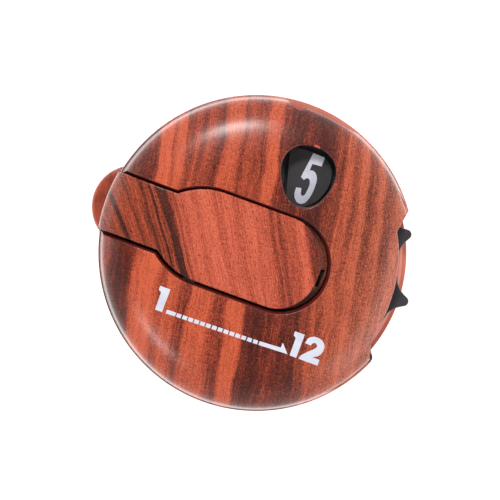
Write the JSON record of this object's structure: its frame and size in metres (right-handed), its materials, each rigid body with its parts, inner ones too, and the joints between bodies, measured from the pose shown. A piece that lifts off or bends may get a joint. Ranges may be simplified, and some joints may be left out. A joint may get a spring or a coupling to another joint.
{
  "type": "golf stroke counter",
  "caption": "Round pocket stroke counter with a thumb-turned toothed number dial, a numbered window, a one-press reset button and a sprung clip on its back.",
  "frame": {"origin": "on the clip's flat outer face, under the middle of the round case", "axes": "+X along the button towards the dial's teeth, +Y towards the number window, +Z out of the number face"},
  "size_m": [0.0302, 0.0288, 0.0124],
  "materials": {
    "wood_print": "orange-red and dark brown wood grain printed on ABS, satin gloss",
    "wood_print_button": "lighter salmon wood grain printed on ABS, satin gloss",
    "salmon_plastic": "moulded pinkish salmon ABS",
    "white_print": "pale blue-white ink, pad-printed on the cover and the dial",
    "black_plastic": "moulded black acetal with printed white numbers",
    "white_nylon": "moulded natural nylon",
    "spring_steel": "bright spring steel",
    "plated_steel": "nickel-plated steel"
  },
  "bodies": {
    "case": {"rear_housing": "salmon_plastic", "front_cover": "wood_print", "button_pin": "plated_steel", "centre_post": "plated_steel", "thrust_washer": "white_nylon", "retaining_ring": "spring_steel", "return_spring": "spring_steel", "spring_anchor_pin": "plated_steel", "click_spring": "spring_steel", "button_spring": "spring_steel", "clip_pin": "plated_steel", "clip_spring": "spring_steel", "case_screw_1": "plated_steel", "case_screw_2": "plated_steel"},
    "dial": {"number_dial": "black_plastic", "ratchet_hub": "white_nylon"},
    "button": {"reset_button": "wood_print_button"},
    "release": {"release_pin": "white_nylon", "release_arm": "white_nylon"},
    "clip": {"back_clip": "wood_print"}
  },
  "joints": [
    {"name": "dial_turn", "type": "hinge", "parent": "case", "child": "dial", "pos_m": [0.0023, 0, 0.0089], "axis": [0, 0, 1], "range_deg": [-120, 210], "deforming": ["return_spring", "click_spring"]},
    {"name": "button_press", "type": "hinge", "parent": "case", "child": "button", "pos_m": [-0.0122, 0, 0.0092], "axis": [0, 1, 0], "range_deg": [0, 2.4], "stiffness_Nm_per_rad": 0.05, "springref_deg": -5.73},
    {"name": "release_slide", "type": "slide", "parent": "case", "child": "release", "axis": [0, 0, -1], "range_m": [0, 0.00062], "deforming": ["button_spring"]},
    {"name": "clip_open", "type": "hinge", "parent": "case", "child": "clip", "pos_m": [-0.0085, 0, 0.00215], "axis": [0, 1, 0], "range_deg": [0, 15], "stiffness_Nm_per_rad": 0.08, "springref_deg": -14.32, "deforming": ["clip_spring"]}
  ],
  "couplings": [
    {"joint": "release_slide", "follows": "button_press", "m_per_rad": 0.0145}
  ]
}
